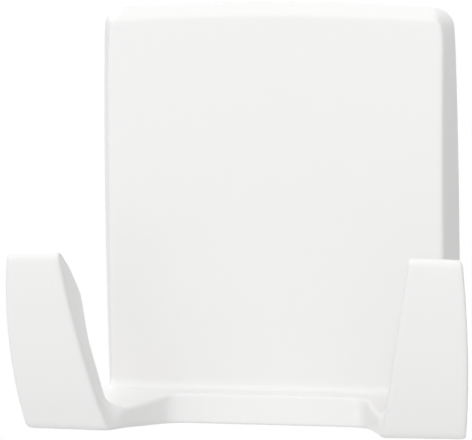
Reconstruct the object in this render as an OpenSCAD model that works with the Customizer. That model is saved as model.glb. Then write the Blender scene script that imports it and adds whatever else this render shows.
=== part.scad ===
// Adhesive wall hook. A moulded cover with two upturned hooks slides down over a flat wall plate,
// and two stretch-release strips hold that plate to the wall.
// Millimetres. The wall is the plane y = 0 and the object stands in front of it, towards -y, with +z up.
// "Reach" is a distance from the wall, so a point's y is minus its reach.
// The origin lies on the wall, at the middle of the strips' sticky length and midway between the strips.

/* [Cover plate] */
// Width across the back rim where it is widest
cover_w = 61.4; // [58:0.2:68]
// Height of the back rim's crown above the origin
cover_top = 35.4; // [33:0.2:40]
// Drop of the bottom face below the origin
cover_drop = 34.15; // [32:0.05:38]
// Gap between the wall and the back rim
rim_gap = 1.2; // [1.1:0.05:1.4]
// Depth of the plate behind its front face where it is deepest
plate_depth = 4.05; // [3.8:0.05:5]
// Depth of the plate behind the front edge of its top
top_depth = 2.5; // [2.2:0.05:3]
// Height at which the plate is widest and deepest, measured from the origin
belly_z = -1.2; // [-6:0.2:4]
// How far the front edge of each side lies inside the back rim
side_bevel = 1.85; // [1.2:0.05:2.6]
// How far the front edge of the top lies below the back rim
top_bevel = 2.05; // [1.4:0.05:2.8]
// How far each side draws in between its widest height and the top
side_bow = 0.5; // [0.2:0.05:1.2]
// How far the top edge falls from its middle to its ends
top_arch = 1.15; // [0.4:0.05:2]
// Corner radius of the back rim's outline
corner_r = 3.3; // [2:0.1:5]
// Corner radius of the front face's outline
front_corner_r = 1; // [0.6:0.1:2]
// Rounding of the front face's edges
edge_r = 0.6; // [0.3:0.1:1]
// Width of the flat left on the rim at the back of the top bevel
rim_land = 0.35; // [0.2:0.05:0.6]

/* [Ledge] */
// Height of the ledge's front face
ledge_h = 5; // [4:0.1:6.5]
// Reach of the ledge's top edge
ledge_reach = 9.4; // [8.4:0.1:11]
// How much further the ledge's bottom edge reaches than its top edge
ledge_lean = 0.75; // [0.2:0.05:1.2]
// Radius of the hollow between the plate and the ledge
ledge_fillet_r = 2.4; // [2:0.1:5]

/* [Hooks] */
// Gap between the arms' inner faces, drawn straight on to the ledge's top edge
arm_gap = 33; // [28:0.5:38]
// Radius in plan where each arm leaves the ledge
arm_fillet_r = 4; // [2.5:0.1:6]
// Thickness of the arms below the hooks' mouths
arm_t = 3.85; // [3:0.05:4.6]
// Drop from the ledge's top edge to the top of each arm's root
arm_step = 0.1; // [0.05:0.05:0.5]
// Gap between the hooks at their feet
foot_gap = 46.2; // [42:0.2:50]
// Gap between the hooks at their tips
tip_gap = 59; // [54:0.2:64]
// Span over both hooks at their feet
foot_span = 75.2; // [70:0.2:80]
// Span over both hooks at their tips
tip_span = 77.4; // [72:0.2:82]
// How far each hook's inner edge bulges out of a straight line
inner_bow = 0.25; // [0:0.05:0.8]
// How far each hook's outer edge bulges out of a straight line
outer_bow = 1.05; // [0.2:0.05:1.6]
// Reach of the hooks' front faces at their feet
foot_reach = 24.2; // [23:0.1:30]
// Reach of the hooks' front faces at their tips
tip_reach = 29.5; // [27:0.1:34]
// How far each front face bulges out of a straight line
front_bow = 1.25; // [0.2:0.05:1.6]
// Reach of the hooks' back faces halfway up
back_reach = 22.7; // [20:0.1:22.8]
// How much nearer the wall the back faces come at the mouths
back_lean = 1.5; // [0:0.1:2]
// How far each foot's underside lies above the ledge's bottom edge
foot_lift = 0.27; // [0:0.01:0.4]
// How much higher each underside is at its outer edge than at its inner edge
heel_rise = 0.22; // [0:0.02:0.5]
// Drop of the hooks' tips below the origin
tip_drop = 3.95; // [0:0.05:8]
// How much lower each tip is at its outer end than at its inner end
tip_slant = 0.2; // [0:0.05:1]
// Height of the nose that slants from the back face to the tip
nose_h = 8; // [6:0.2:12]
// How far the lip below the nose stands out of the back face towards the wall
nose_lip = 1.15; // [0:0.05:1.4]
// Height over which that lip runs out into the back face
lip_h = 6; // [4:0.2:8]
// Thickness of the tip before its edges are rounded
tip_t = 1.6; // [1.3:0.1:2]
// Height of the rounding over the tip's front edge
tip_round_h = 1.5; // [0.8:0.1:1.6]
// Radius at the bottom of each hook's mouth
mouth_r = 1.8; // [1.4:0.1:3]
// Rounding of the hooks' edges
hook_edge_r = 0.9; // [0.4:0.1:1.2]

/* [Cover inside] */
// Thickness of the wall in front of the hollow
front_wall = 1.7; // [1.2:0.1:2]
// Distance from the back rim's side to the hollow
side_wall = 2.8; // [2:0.1:3.2]
// Thickness of the guide rails' legs
rail_t = 1.5; // [1:0.1:2]
// Length of the guide rails
rail_h = 36; // [28:0.5:40]
// Length of the tapered entry at the lower end of each rail
lead_in = 3; // [1:0.2:5]
// Height of the stop rib that sits on the wall plate
stop_h = 1.6; // [1:0.1:2.5]
// Width of the stop rib
stop_w = 38; // [26:0.5:44]
// Number of pockets that core out the ledge
core_n = 7; // [5:1:9]
// Thickness of the ribs between those pockets
core_rib_t = 1.2; // [0.8:0.1:1.8]
// Corner radius of those pockets
core_r = 0.6; // [0.3:0.1:0.8]

/* [Wall plate] */
// Width of the wall plate between its flanges
base_w = 44; // [40:0.5:47]
// Height of the wall plate
base_h = 40; // [36:0.5:44]
// Thickness of the wall plate
base_t = 1.8; // [1.6:0.05:2]
// Width of the flange along each side
flange_w = 2; // [1.4:0.1:2.2]
// Thickness of that flange
flange_t = 0.8; // [0.6:0.05:0.9]
// Slant at the upper end of each flange
flange_lead = 3; // [1:0.2:5]
// Corner radius at the bottom of the wall plate
base_corner_r = 2; // [1:0.1:4]
// Width of the finger notch over each pull tab
notch_w = 11; // [8:0.5:13]
// Height of that notch
notch_h = 4; // [2:0.2:5]

/* [Strips] */
// Width of a strip
strip_w = 16; // [14:0.5:18]
// Gap between the two strips
strip_gap = 6; // [4:0.5:8]
// Sticky length of a strip
strip_h = 36; // [30:0.5:38]
// Length of the bare end below the sticky length
tail_h = 12; // [10:0.5:13]
// Thickness of the elastic core
core_t = 0.7; // [0.6:0.02:0.8]
// Thickness of each sticky film
film_t = 0.15; // [0.1:0.01:0.18]
// Length of the pull tab's sleeve
tab_h = 9.5; // [7:0.5:11]
// Thickness of the pull tab's sleeve
tab_t = 0.1; // [0.06:0.01:0.14]
// Corner radius of the strips
strip_corner_r = 1.5; // [0.5:0.1:3]

/* [Fits] */
// Clearance between the rails and the wall plate's flanges
rail_clearance = 0.15; // [0.1:0.01:0.2]
// Clearance between the wall plate's front and the cover
front_clearance = 0.25; // [0.15:0.01:0.4]

/* [Hidden] */
$fn = 48;

// How far cuts run past the faces that they open, and pieces of one moulding into each other
overrun = 0.5;
// Steps of an edge's rounding, of a fillet and of a long bow
edge_steps = 3;
fillet_steps = 8;
bow_steps = 8;
// How sharply the underside of a hook turns into its front face
foot_turn = 22;
// Share of an ellipse's half height that the nose's curve uses
nose_share = 0.9;
// Share of a straight slope in the nose's curve
straight_share = 0.5;
// Shares of the tip rounding's height by which the tip's inner end, outer end, back and front draw in
tip_inner_share = 0.15;
tip_outer_share = 0.35;
tip_back_share = 0.1;
tip_front_share = 0.6;
// Share of a lip's thickness left at the tip of its tapered entry
lead_in_share = 0.45;
// Share of an arm's or hook's thickness by which its outer side leans in towards its back
side_draft_share = 0.35;
// Share of an arm's or hook's thickness that the rounding of one edge may take
rounding_share = 0.4;

bottom_z = -cover_drop;
half_w = cover_w / 2;
front_half_w = half_w - side_bevel;
front_top_z = cover_top - top_bevel;
belly_reach = rim_gap + plate_depth;
top_reach = rim_gap + top_depth;
ridge_z = bottom_z + ledge_h;

strip_t = core_t + 2 * film_t;
base_front = strip_t + base_t;
flange_back = base_front - flange_t;
flange_half_w = base_w / 2 + flange_w;
base_top_z = base_h / 2;
slot_reach = base_front + front_clearance;
slot_half_w = half_w - side_wall;
pocket_top_z = front_top_z - front_wall;
strip_x = (strip_gap + strip_w) / 2;
strip_bottom_z = -strip_h / 2;
tail_bottom_z = strip_bottom_z - tail_h;

arm_top_z = bottom_z + arm_t;
tip_z = -tip_drop;
mouth_reach = back_reach - back_lean - mouth_r;
mouth_z = arm_top_z + mouth_r;
nose_z = tip_z - nose_h;
lip_z = nose_z - lip_h;
foot_z = bottom_z + foot_lift;
ledge_foot_reach = ledge_reach + ledge_lean;

// Blends, curves and sections

function mix(a, b, t) = a + (b - a) * t;
function bulge(t) = 4 * t * (1 - t);
function glide(t) = let (u = max(0, min(1, t))) u * u * (3 - 2 * u);
function bend(a, b, c, t) = mix(mix(a, b, t), mix(b, c, t), t);
function toward(a, b, d) = a + (b - a) * min(d / norm(b - a), 1 / 2);
function arc(centre, r, from, to, steps) =
    [for (i = [0 : steps]) centre + r * [cos(mix(from, to, i / steps)), sin(mix(from, to, i / steps))]];

// The corner at b between a and c, rounded from a distance d before it to a distance d after it
function eased(a, b, c, d) =
    [for (i = [0 : edge_steps]) bend(toward(b, a, d), b, toward(b, c, d), i / edge_steps)];

// A solid skinned over closed sections with the same even number of points.
// In each section a point and its mirror count from the end lie across from each other.
module loft(sections) {
    n = len(sections[0]);
    last = (len(sections) - 1) * n;
    walls = [for (i = [0 : len(sections) - 2], j = [0 : n - 1])
        let (a = i * n + j, b = i * n + (j + 1) % n)
        each [[a, b, b + n], [a, b + n, a + n]]];
    ends = [for (j = [0 : n / 2 - 2])
        let (a = j, b = j + 1, c = n - 2 - j, d = n - 1 - j)
        each [[a, c, b], [a, d, c], [last + a, last + b, last + c], [last + a, last + c, last + d]]];
    polyhedron(points = [for (s = sections) each s], faces = concat(walls, ends), convexity = 8);
}

module along_x(w) {
    rotate([90, 0, 90]) linear_extrude(w, center = true) children();
}

// A block given by its lowest and highest x, reach and z
module block(x, reach, z) {
    translate([x[0], -reach[1], z[0]]) cube([x[1] - x[0], reach[1] - reach[0], z[1] - z[0]]);
}

// Outer form of the cover's plate and ledge

function rise(z) = pow(max(0, z - belly_z) / (cover_top - belly_z), 2);

function front_reach(z) =
    mix(belly_reach, top_reach, pow(max(0, z - belly_z) / (front_top_z - belly_z), 2));

function rounded_end(half, r, end_z, z) =
    let (past = min(r, max(0, z - (end_z - r)))) half - r + sqrt(r * r - past * past);

function back_half_at(z) =
    rounded_end(half_w, corner_r, cover_top, z) - side_bow * pow((z - belly_z) / (cover_top - belly_z), 2);

function front_half_at(z) =
    z <= front_top_z
    ? rounded_end(front_half_w, front_corner_r, front_top_z, z)
    : mix(front_half_w - front_corner_r, back_half_at(cover_top),
          (z - front_top_z) / (cover_top - front_top_z));

// The front of the middle section as [reach, z], from the bottom edge up to the rim's crown
ledge_foot = [ledge_foot_reach, bottom_z];
ledge_ridge = [ledge_reach, ridge_z];
hollow_start = [belly_reach + ledge_fillet_r, ridge_z];
front_edge = [top_reach, front_top_z];
crown = [rim_gap + rim_land, cover_top];
plate_z = [ridge_z + ledge_fillet_r, front_top_z - 2 * edge_r];
front_profile = concat(
    eased([rim_gap, bottom_z], ledge_foot, ledge_ridge, edge_r),
    eased(ledge_foot, ledge_ridge, hollow_start - [ledge_fillet_r / 2, 0], edge_r),
    [for (p = arc(hollow_start + [0, ledge_fillet_r], ledge_fillet_r, 260, 180, fillet_steps))
        if (p[0] < ledge_reach - edge_r) p],
    [for (i = [1 : bow_steps]) let (z = mix(plate_z[0], plate_z[1], i / bow_steps)) [front_reach(z), z]],
    eased([front_reach(plate_z[1]), plate_z[1]], front_edge, crown, edge_r),
    [for (i = [1 : edge_steps + 2]) mix(front_edge, crown, mix(1 / 2, 1, sin(90 * i / (edge_steps + 2))))]
);

// The level section of the plate at a point of that profile, back edge first
function plate_section(p) =
    let (
        back = back_half_at(p[1]),
        front = front_half_at(p[1]),
        corner = [front, p[0]],
        edge = eased([back, rim_gap], corner, [0, p[0]], min(edge_r, (p[0] - rim_gap) / 3)),
        inner = edge[edge_steps][0],
        right = concat(edge, [for (i = [1 : bow_steps - 1]) [mix(inner, -inner, i / bow_steps), p[0]]]),
        left = [for (i = [edge_steps : -1 : 0]) [-edge[i][0], edge[i][1]]],
        face = concat(right, left),
        count = len(face) - 1,
        outline = concat([for (i = [0 : count]) [mix(-back, back, i / count), rim_gap]], face)
    )
    [for (q = outline) [q[0], -q[1], p[1] - top_arch * rise(p[1]) * pow(q[0] / half_w, 2)]];

module plate_and_ledge() {
    loft([for (p = front_profile) plate_section(p)]);
}

// Outer form of an arm and its hook, on the right

function hook_share(z) = (z - bottom_z) / (tip_z - bottom_z);

function hook_front(z) =
    let (t = hook_share(z)) mix(foot_reach, tip_reach, t) + front_bow * bulge(t);

// The back leans in towards the mouth, stands out in a lip below the nose and slants from there to the tip
function hook_back(z) =
    let (
        t = max(0, z - nose_z) / nose_h,
        full = 1 - sqrt(1 - pow(nose_share, 2)),
        slope = mix((1 - sqrt(1 - pow(nose_share * t, 2))) / full, t, straight_share),
        lip = back_reach - nose_lip
    )
    z > nose_z
    ? mix(lip, hook_front(tip_z) - tip_t, slope)
    : mix(lip, back_reach, glide((nose_z - z) / lip_h))
      - back_lean * glide((lip_z - z) / (lip_z - mouth_z));

// In plan each arm's inner face leaves the ledge on an arc and runs straight on to the hook's foot
arm_turn = atan2(2 * (foot_reach - ledge_reach), foot_gap - arm_gap);
arm_arc_x = arm_gap / 2 - arm_fillet_r * tan(arm_turn / 2);
arm_arc_reach = arm_fillet_r * (1 - cos(arm_turn));

function arm_inner_x(reach) =
    let (
        past = min(reach, foot_reach) - ledge_reach,
        angle = acos(1 - max(0, min(past, arm_arc_reach)) / arm_fillet_r)
    )
    past < arm_arc_reach
    ? arm_arc_x + arm_fillet_r * sin(angle)
    : mix(arm_gap, foot_gap, past / (foot_reach - ledge_reach)) / 2;

function arm_share(reach) = max(0, min(1, (reach - ledge_reach) / (mouth_reach - ledge_reach)));

// The top of each arm runs on from the ledge's top edge and falls to its full drop at the mouth
function arm_top_at(reach) =
    mix(ridge_z - arm_step, arm_top_z, arm_share(reach));

function inner_x(reach, z) =
    let (t = hook_share(z)) arm_inner_x(reach) + (tip_gap - foot_gap) * t / 2 + inner_bow * bulge(t);

function outer_x(reach, z) =
    let (t = hook_share(z), root = (min(reach, foot_reach) - rim_gap) / (foot_reach - rim_gap))
    mix(half_w - side_bow, foot_span / 2, root) + (tip_span - foot_span) * t / 2 + outer_bow * bulge(t);

// A rounded section across the limb, from a point on its inside to one on its outside, which rises by
// heel towards its outer end. Near the tip it draws in by shares of round_off.
function limb_section(inside, outside, heel = 0, round_off = 0) =
    let (
        t = norm(outside - inside),
        dir = (outside - inside) / t,
        x0 = inner_x(outside[0], outside[1]) + tip_inner_share * round_off,
        x1 = outer_x(outside[0], outside[1]) - tip_outer_share * round_off,
        near = tip_back_share * round_off,
        far = t - tip_front_share * round_off,
        r = min(hook_edge_r, (far - near) * rounding_share),
        low = near + r,
        high = far - r,
        flat = concat(
            arc([x0 + r, low], r, 180, 270, edge_steps), arc([x1 - r, low], r, 270, 360, edge_steps),
            arc([x1 - r, high], r, 0, 90, edge_steps), arc([x0 + r, high], r, 90, 180, edge_steps))
    )
    [for (q = flat)
        let (
            p = inside + dir * q[1],
            across = (q[0] - x0) / (x1 - x0),
            rise = heel * q[1] / t - tip_slant * pow(hook_share(p[1]), 4)
        )
        [q[0] - side_draft_share * (t - q[1]) * across, -p[0], p[1] + rise * across]];

function arm_section(reach) =
    let (settled = pow(max(0, reach - ledge_foot_reach) / (mouth_reach - ledge_foot_reach), 2))
    limb_section([reach, arm_top_at(reach)], [reach, bottom_z + foot_lift * settled], heel_rise * settled);

// The section that fans out from the centre of the mouth's radius, from straight down to straight ahead
function foot_section(angle) =
    let (
        dir = [sin(angle), -cos(angle)],
        centre = [mouth_reach, mouth_z],
        slope = (hook_front(mouth_z) - foot_reach) / (mouth_z - foot_z),
        to_bottom = cos(angle) / (mouth_z - foot_z),
        to_front = (sin(angle) + slope * cos(angle)) / (hook_front(mouth_z) - mouth_reach),
        d = pow(pow(to_bottom, foot_turn) + pow(to_front, foot_turn), -1 / foot_turn)
    )
    limb_section(centre + dir * mouth_r, centre + dir * d, heel_rise * pow(cos(angle), 2));

function hook_section(z, round_off = 0) = limb_section([hook_back(z), z], [hook_front(z), z], 0, round_off);

module arm_and_hook() {
    arc_end = ledge_reach + arm_arc_reach;
    arm_stations = concat(
        [rim_gap],
        [for (i = [0 : fillet_steps]) ledge_reach + arm_fillet_r * (1 - cos(arm_turn * i / fillet_steps))],
        [for (i = [1 : edge_steps]) mix(arc_end, mouth_reach, i / (edge_steps + 1))]
    );
    loft(concat(
        [for (reach = arm_stations) arm_section(reach)],
        [for (i = [0 : 2 * fillet_steps]) foot_section(90 * i / (2 * fillet_steps))],
        [for (i = [1 : bow_steps]) hook_section(mix(mouth_z, nose_z, i / bow_steps))],
        [for (i = [1 : fillet_steps]) hook_section(mix(nose_z, tip_z - tip_round_h, i / fillet_steps))],
        [for (i = [1 : 2 * edge_steps])
            let (a = 90 * i / (2 * edge_steps))
            hook_section(tip_z - tip_round_h * (1 - sin(a)), tip_round_h * (1 - cos(a)))]
    ));
}

// Inside of the cover

// The hollow behind the plate, open at the back and at the bottom, where the wall plate slides in
module hollow() {
    along_x(2 * slot_half_w)
        polygon([
            [-rim_gap + overrun, bottom_z - overrun],
            [-slot_reach, bottom_z - overrun],
            [-slot_reach, base_top_z + stop_h + overrun],
            [-front_reach(pocket_top_z) + front_wall, pocket_top_z],
            [-rim_gap + overrun, pocket_top_z]
        ]);
}

// A pocket in the ledge, open towards the hollow
module core_pocket(w) {
    low = bottom_z + front_wall + core_r;
    mouth = slot_reach - overrun;
    corners = [
        [mouth, low],
        [ledge_reach - front_wall - core_r, low],
        [mouth, ridge_z + ledge_fillet_r - front_wall - core_r]
    ];
    hull() for (c = corners)
        translate([0, -c[0], c[1]]) rotate([0, 90, 0]) cylinder(r = core_r, h = w, center = true, $fn = 24);
}

module core_pockets() {
    pitch = 2 * flange_half_w / core_n;
    for (i = [0 : core_n - 1])
        translate([pitch * (i + 1 / 2) - flange_half_w, 0, 0]) core_pocket(pitch - core_rib_t);
}

// A guide rail on the right: a leg beside the wall plate's flange and a lip behind it
module rail() {
    leg_x = flange_half_w + rail_clearance;
    lip_x = base_w / 2 + rail_clearance;
    lip_front = flange_back - rail_clearance;
    z = [-rail_h / 2, rail_h / 2];
    block([leg_x, leg_x + rail_t], [rim_gap, slot_reach + overrun], z);
    hull() {
        block([lip_x, leg_x + rail_t], [rim_gap, lip_front], [z[0] + lead_in, z[1]]);
        block([lip_x, leg_x + rail_t], [rim_gap, mix(rim_gap, lip_front, lead_in_share)], z);
    }
}

// The rib that sits on the wall plate's top edge, with a gusset above each end
module stop_rib() {
    top = base_top_z + stop_h;
    block([-stop_w / 2, stop_w / 2], [rim_gap, slot_reach + overrun], [base_top_z, top]);
    for (side = [-1, 1]) {
        x = side * (stop_w - stop_h) / 2;
        gusset_x = [x - stop_h / 2, x + stop_h / 2];
        hull() {
            block(gusset_x, [rim_gap, slot_reach + overrun], [base_top_z, top]);
            block(gusset_x, [slot_reach, slot_reach + overrun], [top, top + 2 * stop_h]);
        }
    }
}

module hook_cover() {
    color("white") union() {
        difference() {
            union() {
                plate_and_ledge();
                for (side = [0, 1]) mirror([side, 0, 0]) arm_and_hook();
            }
            hollow();
            core_pockets();
        }
        for (side = [0, 1]) mirror([side, 0, 0]) rail();
        stop_rib();
    }
}

// Wall plate: a flat plate with a flange along each side, slanted at the top where the cover slides on

module wall_plate() {
    lead = [flange_half_w, base_top_z];
    lead_run = overrun * flange_w / flange_lead;
    color("gainsboro") difference() {
        translate([0, 0, -base_h / 2]) linear_extrude(base_h) polygon([
            [-base_w / 2, -strip_t], [-base_w / 2, -flange_back],
            [-flange_half_w, -flange_back], [-flange_half_w, -base_front],
            [flange_half_w, -base_front], [flange_half_w, -flange_back],
            [base_w / 2, -flange_back], [base_w / 2, -strip_t]
        ]);
        for (side = [0, 1]) mirror([side, 0, 0]) {
            through() polygon([
                lead + [overrun, overrun], lead + [-flange_w - lead_run, overrun],
                lead + [lead_run, -flange_lead - overrun], lead + [overrun, -flange_lead]
            ]);
            through() difference() {
                translate([flange_half_w - base_corner_r, -base_top_z - overrun])
                    square([base_corner_r + overrun, base_corner_r + overrun]);
                translate([flange_half_w - base_corner_r, -base_top_z + base_corner_r])
                    circle(base_corner_r);
            }
            through() notch_outline();
        }
    }
}

// Cuts an outline drawn in x and z right through the wall plate
module through() {
    translate([0, -strip_t + overrun, 0]) rotate([90, 0, 0]) linear_extrude(base_t + 2 * overrun) children();
}

// The finger notch over the right strip's tail, with a round top
module notch_outline() {
    top_r = min(notch_w / 2, notch_h);
    translate([strip_x, -base_top_z]) {
        translate([-notch_w / 2, -overrun]) square([notch_w, overrun + notch_h - top_r]);
        translate([-notch_w / 2 + top_r, -overrun]) square([notch_w - 2 * top_r, overrun + notch_h]);
        for (side = [-1, 1]) translate([side * (notch_w / 2 - top_r), notch_h - top_r]) circle(top_r);
    }
}

// Strips: an elastic core between two sticky films, with a sleeve on its bare lower end

// A sheet with rounded corners, given by its lowest and highest z and reach, centred on a strip
module sheet(side, z, reach) {
    r = strip_corner_r;
    translate([side * strip_x, -reach[0], 0]) rotate([90, 0, 0]) linear_extrude(reach[1] - reach[0]) {
        translate([-strip_w / 2, z[0] + r]) square([strip_w, z[1] - z[0] - 2 * r]);
        translate([-strip_w / 2 + r, z[0]]) square([strip_w - 2 * r, z[1] - z[0]]);
        for (x = [-1, 1], end = [z[0] + r, z[1] - r]) translate([x * (strip_w / 2 - r), end]) circle(r);
    }
}

module strip_core(side) {
    color("whitesmoke") sheet(side, [tail_bottom_z, -strip_bottom_z], [film_t, film_t + core_t]);
}

module wall_adhesive(side) {
    color("lightgrey") sheet(side, [strip_bottom_z, -strip_bottom_z], [0, film_t]);
}

module plate_adhesive(side) {
    color("lightgrey") sheet(side, [strip_bottom_z, -strip_bottom_z], [film_t + core_t, strip_t]);
}

// A film folded round the tail's end, so it is open at its sides and its top
module pull_tab(side) {
    core = [film_t, film_t + core_t];
    color("aliceblue") difference() {
        sheet(side, [tail_bottom_z - tab_t, tail_bottom_z + tab_h], core + [-tab_t, tab_t]);
        sheet(side, [tail_bottom_z, -strip_bottom_z], core);
    }
}

hook_cover();
wall_plate();
strip_core(-1);  // strip_core_left
strip_core(1);  // strip_core_right
wall_adhesive(-1);  // wall_adhesive_left
wall_adhesive(1);  // wall_adhesive_right
plate_adhesive(-1);  // plate_adhesive_left
plate_adhesive(1);  // plate_adhesive_right
pull_tab(-1);  // pull_tab_left
pull_tab(1);  // pull_tab_right
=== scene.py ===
"""Looks of an adhesive wall hook: a moulded cover with two prongs, its wall plate and its sticky strips."""

import logging
import math
from dataclasses import dataclass
from enum import Enum
from typing import Iterable, Sequence

import bmesh
import bpy
from mathutils import Matrix, Vector


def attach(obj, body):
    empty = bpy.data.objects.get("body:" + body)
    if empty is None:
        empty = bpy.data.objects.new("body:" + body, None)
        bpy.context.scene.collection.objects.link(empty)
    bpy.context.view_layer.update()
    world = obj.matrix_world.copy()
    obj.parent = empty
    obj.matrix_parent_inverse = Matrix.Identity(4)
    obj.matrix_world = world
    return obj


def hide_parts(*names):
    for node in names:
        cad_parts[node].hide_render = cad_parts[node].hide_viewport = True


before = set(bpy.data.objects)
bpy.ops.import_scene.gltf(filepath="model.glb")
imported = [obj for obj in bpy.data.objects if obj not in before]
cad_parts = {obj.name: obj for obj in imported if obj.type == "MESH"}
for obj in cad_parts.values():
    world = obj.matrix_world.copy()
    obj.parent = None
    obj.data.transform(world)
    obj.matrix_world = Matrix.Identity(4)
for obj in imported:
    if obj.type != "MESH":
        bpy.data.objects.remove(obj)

LOG = logging.getLogger("wall_hook")
MM = 0.001  # metres in a millimetre
SHARP_TURN = 35.0  # edges that turn by more degrees than this stay sharp
PATTERN_RANGE = (0.3, 0.7)  # where most values of a pattern lie
WHITE = (1.0, 1.0, 1.0, 1.0)

Span = tuple[float, float]
Colour = tuple[float, float, float]
Row = list[Vector]
Thing = bpy.types.Object
Material = bpy.types.Material
Tree = bpy.types.NodeTree
Node = bpy.types.Node
Socket = bpy.types.NodeSocket


class Side(Enum):
    """The two sides, as seen from the room."""

    LEFT = -1
    RIGHT = 1


class Join(Enum):
    """How a tool changes the piece that it meets."""

    ADD = "UNION"
    REMOVE = "DIFFERENCE"


def mix(a: float, b: float, t: float) -> float:
    """Returns the value a share t of the way from a to b."""
    return a + (b - a) * t


def bulge(t: float) -> float:
    """Returns a bow over t from 0 to 1, with a height of 1 in the middle."""
    return 4 * t * (1 - t)


def glide(t: float) -> float:
    """Returns a soft step over t from 0 to 1, level before and after."""
    u = max(0.0, min(1.0, t))
    return u * u * (3 - 2 * u)


def spaced(count: int) -> list[float]:
    """Returns count + 1 even shares from 0 to 1."""
    return [i / count for i in range(count + 1)]


def held(gap: float) -> tuple[float, ...]:
    """Returns five shares from 0 to 1, with one a gap away from each end, which keeps corners tight."""
    return 0.0, gap, 0.5, 1 - gap, 1.0


def arc(x: float, y: float, r: float, start: float, end: float, steps: int = 8) -> Row:
    """Returns points on an arc about (x, y), from one angle in degrees to another."""
    turns = (math.radians(mix(start, end, t)) for t in spaced(steps))
    return [Vector((x + r * math.cos(a), y + r * math.sin(a))) for a in turns]


class Cage:
    """A mesh gathered point by point, in millimetres, as (x, reach from the wall, z)."""

    def __init__(self) -> None:
        """Starts an empty mesh."""
        self.points: list[Vector] = []
        self.faces: list[tuple[int, ...]] = []
        self.sharp_edges: set[frozenset[int]] = set()
        self.sharp_points: set[int] = set()

    def point(self, spot: Sequence[float]) -> int:
        """Adds a point and returns its number."""
        self.points.append(Vector(spot))
        return len(self.points) - 1

    def row(self, spots: Iterable[Sequence[float]]) -> list[int]:
        """Adds a row of points and returns their numbers."""
        return [self.point(spot) for spot in spots]

    def face(self, *corners: int) -> None:
        """Adds one face."""
        self.faces.append(corners)

    def strips(self, rows: Sequence[Sequence[int]], closed: bool = False) -> None:
        """Adds a strip of four-sided faces from each row to the next.

        Args:
            rows: The rows, each with as many points.
            closed: Whether they are rings.
        """
        for a, b in zip(rows, rows[1:]):
            count = len(a)
            for i in range(count if closed else count - 1):
                j = (i + 1) % count
                self.face(a[i], a[j], b[j], b[i])

    def loft(self, sections: Iterable[Iterable[Sequence[float]]]) -> None:
        """Adds a closed body through rings of points, with a flat face at each end.

        Args:
            sections: The rings, each with as many points.
        """
        rings = [self.row(section) for section in sections]
        self.strips(rings, closed=True)
        self.face(*rings[0])
        self.face(*rings[-1])

    def prism(self, outline: Sequence[Sequence[float]], x0: float, x1: float) -> None:
        """Adds a straight body along x, from an outline in reach and height."""
        self.loft([[(x, reach, z) for reach, z in outline] for x in (x0, x1)])

    def crease(self, chain: Sequence[int]) -> None:
        """Keeps the edges along a chain of points sharp."""
        self.sharp_edges.update(frozenset(pair) for pair in zip(chain, chain[1:]))

    def piece(self, name: str) -> Thing:
        """Makes the mesh, in metres in the part's frame.

        Args:
            name: The new object's name.

        Returns:
            The object, with its faces turned outwards.
        """
        shape = bmesh.new()
        edge_crease = shape.edges.layers.float.new("crease_edge")
        point_crease = shape.verts.layers.float.new("crease_vert")
        corners = [shape.verts.new((p.x * MM, -p.y * MM, p.z * MM)) for p in self.points]
        for face in self.faces:
            shape.faces.new([corners[i] for i in face])
        shape.verts.index_update()
        for edge in shape.edges:
            if frozenset(v.index for v in edge.verts) in self.sharp_edges:
                edge[edge_crease] = 1.0
        for i in self.sharp_points:
            corners[i][point_crease] = 1.0
        bmesh.ops.recalc_face_normals(shape, faces=shape.faces)
        mesh = bpy.data.meshes.new(name)
        shape.to_mesh(mesh)
        shape.free()
        thing = bpy.data.objects.new(name, mesh)
        bpy.context.scene.collection.objects.link(thing)
        return thing


def settle(thing: Thing) -> None:
    """Turns an object's modifiers into plain mesh.

    Args:
        thing: The object.
    """
    bpy.context.view_layer.update()
    result = bpy.data.meshes.new_from_object(thing.evaluated_get(bpy.context.evaluated_depsgraph_get()))
    old = thing.data
    thing.modifiers.clear()
    thing.data = result
    bpy.data.meshes.remove(old)
    result.name = thing.name


def soften(thing: Thing, r: float, steps: int = 2) -> Thing:
    """Rounds an object's edges.

    Args:
        thing: The object.
        r: The size of the rounding, in millimetres.
        steps: How many faces it has across.

    Returns:
        The object.
    """
    bevel = thing.modifiers.new("edges", "BEVEL")
    bevel.width = r * MM
    bevel.segments = steps
    bevel.limit_method = "ANGLE"
    bevel.angle_limit = math.radians(SHARP_TURN)
    settle(thing)
    return thing


def close_slivers(thing: Thing, gap: float = 0.002, bend: float = 5.0) -> None:
    """Closes the slivers that cutting leaves, and takes away spare points on straight edges.

    Args:
        thing: The object.
        gap: Points that lie closer than this become one, in millimetres.
        bend: The most that an edge turns at a spare point, in degrees.
    """
    shape = bmesh.new()
    shape.from_mesh(thing.data)
    bmesh.ops.remove_doubles(shape, verts=shape.verts[:], dist=gap * MM)
    limit = math.radians(bend)
    spare = [v for v in shape.verts if len(v.link_edges) == 2 and v.calc_edge_angle(limit) < limit]
    bmesh.ops.dissolve_verts(shape, verts=spare)
    shape.to_mesh(thing.data)
    shape.free()


def combine(thing: Thing, tools: Sequence[tuple[Thing, Join]]) -> None:
    """Joins tools to an object or cuts them out of it, and clears the tools away.

    Args:
        thing: The object.
        tools: Each tool with what it does, in order.
    """
    for tool, join in tools:
        step = thing.modifiers.new(tool.name, "BOOLEAN")
        step.operation = join.value
        step.solver = "EXACT"
        step.object = tool
    settle(thing)
    close_slivers(thing)
    for tool, _ in tools:
        mesh = tool.data
        bpy.data.objects.remove(tool)
        bpy.data.meshes.remove(mesh)


def smooth(thing: Thing) -> None:
    """Shades an object smoothly, apart from its sharp edges."""
    thing.data.shade_smooth()
    thing.data.set_sharp_from_angle(angle=math.radians(SHARP_TURN))


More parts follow.
